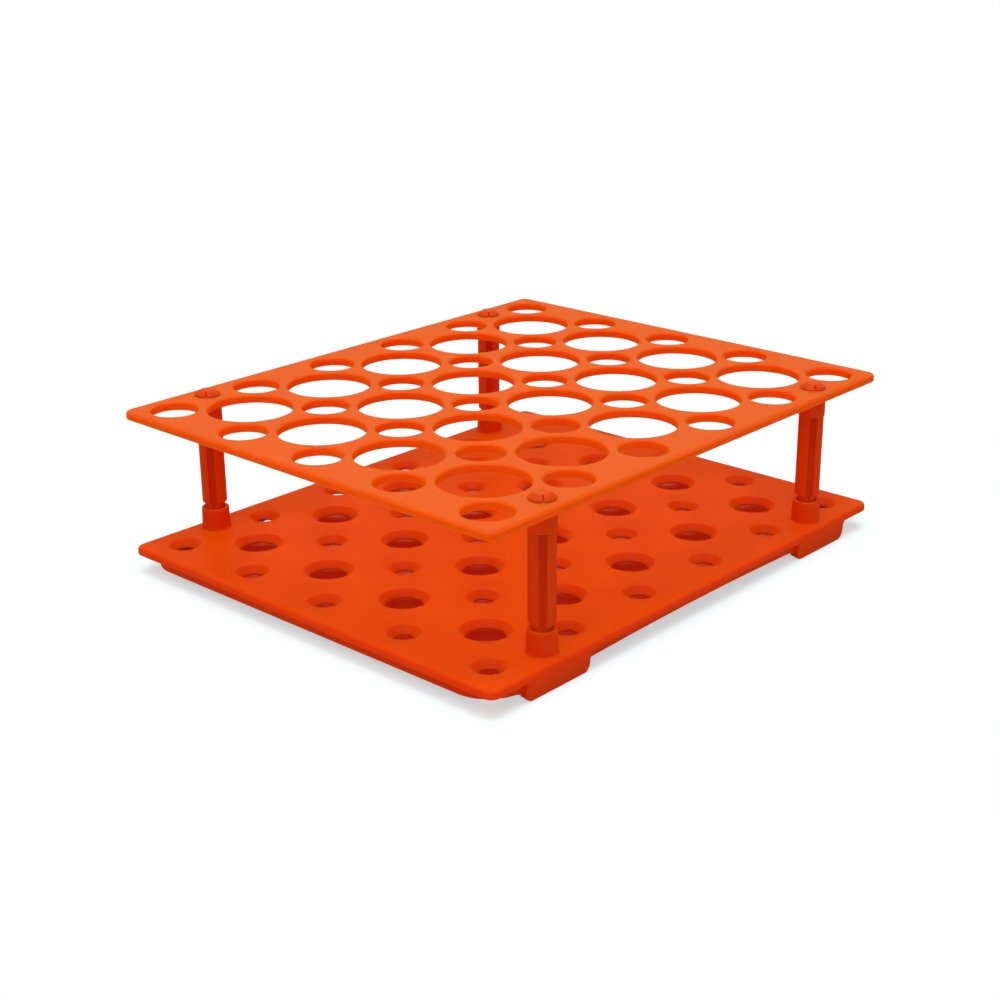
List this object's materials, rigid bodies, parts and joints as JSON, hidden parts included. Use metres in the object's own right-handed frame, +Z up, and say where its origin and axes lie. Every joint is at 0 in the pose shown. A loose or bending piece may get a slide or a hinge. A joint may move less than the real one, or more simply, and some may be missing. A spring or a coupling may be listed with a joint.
{
  "type": "centrifuge tube rack",
  "caption": "Two-tier moulded plastic rack with large and small wells for conical tubes: a top plate held on snap-in posts over a footed base plate with tapered tip seats.",
  "frame": {"origin": "on the floor, midway between the four feet", "axes": "+Z up, X along the plates' long sides, the front is -Y"},
  "size_m": [0.208, 0.1714, 0.0619],
  "materials": {
    "top_plastic": "satin orange",
    "base_plastic": "satin orange",
    "post_plastic": "satin orange red"
  },
  "bodies": {
    "root": {"base_plate": "base_plastic", "top_plate": "top_plastic", "post_front_left": "post_plastic", "post_front_right": "post_plastic", "post_back_left": "post_plastic", "post_back_right": "post_plastic"}
  },
  "joints": []
}
